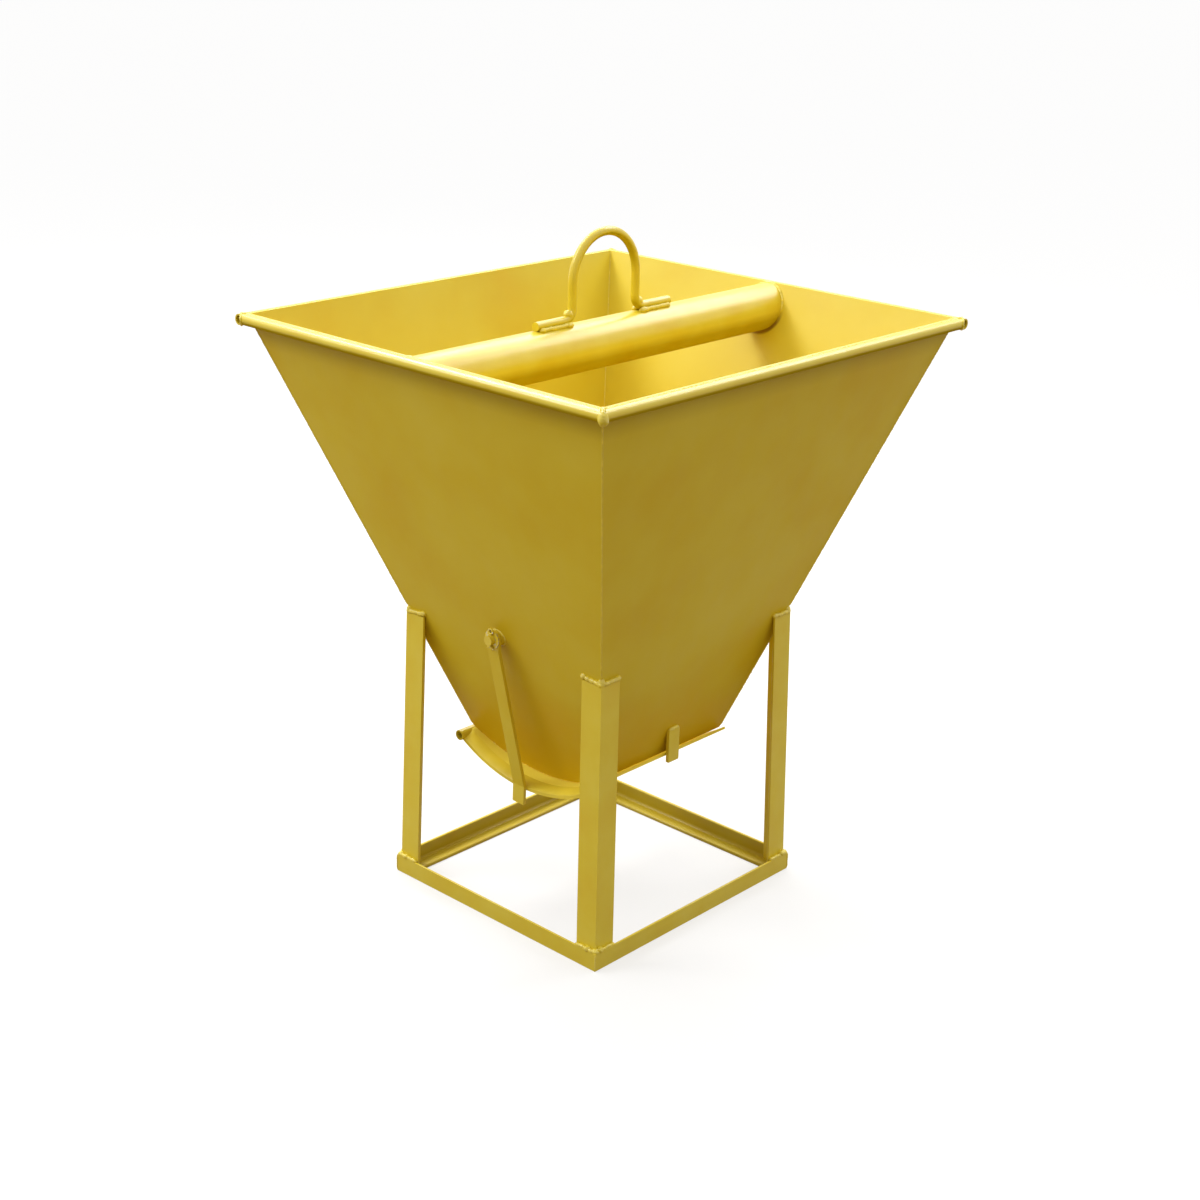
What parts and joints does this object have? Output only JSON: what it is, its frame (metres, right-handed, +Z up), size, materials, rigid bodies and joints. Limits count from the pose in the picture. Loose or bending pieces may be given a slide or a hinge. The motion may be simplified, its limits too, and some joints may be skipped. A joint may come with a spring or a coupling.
{
  "type": "hoist bucket",
  "caption": "Four-sided steel hopper bucket on an angle-iron stand, with a lifting eye on a cross pipe and a swinging curved gate that closes the mouth from below.",
  "frame": {"origin": "centre of the stand's underside, on the floor", "axes": "+Z up; the cross pipe and the gate's pivots lie along Y; the gate opens towards -X and its stop is on +X"},
  "size_m": [0.7648, 0.8362, 1.0941],
  "materials": {
    "yellow_paint": "gloss yellow paint",
    "painted_weld": "gloss yellow paint over rough weld",
    "bare_steel": "dull steel with paint spatter"
  },
  "bodies": {
    "bucket": {"front_wall": "yellow_paint", "back_wall": "yellow_paint", "left_wall": "yellow_paint", "right_wall": "yellow_paint", "front_rim_tube": "yellow_paint", "back_rim_tube": "yellow_paint", "left_rim_tube": "yellow_paint", "right_rim_tube": "yellow_paint", "cross_pipe": "yellow_paint", "lifting_loop": "yellow_paint", "loop_welds": "painted_weld", "front_left_leg": "yellow_paint", "front_right_leg": "yellow_paint", "back_right_leg": "yellow_paint", "back_left_leg": "yellow_paint", "front_base_bar": "yellow_paint", "right_base_bar": "yellow_paint", "back_base_bar": "yellow_paint", "left_base_bar": "yellow_paint", "leg_top_welds": "painted_weld", "leg_foot_welds": "painted_weld", "front_pivot_stub": "yellow_paint", "back_pivot_stub": "yellow_paint", "front_pivot_washer": "bare_steel", "back_pivot_washer": "bare_steel", "front_split_pin": "bare_steel", "back_split_pin": "bare_steel", "stop_tab": "yellow_paint", "stop_tab_weld": "painted_weld"},
    "gate": {"gate_plate": "yellow_paint", "front_gate_rib": "yellow_paint", "back_gate_rib": "yellow_paint", "front_gate_arm": "yellow_paint", "back_gate_arm": "yellow_paint", "gate_handle_tube": "yellow_paint"}
  },
  "joints": [
    {"name": "gate_swing", "type": "hinge", "parent": "bucket", "child": "gate", "pos_m": [0, 0, 0.488], "axis": [0, 1, 0], "range_deg": [0, 49]}
  ]
}
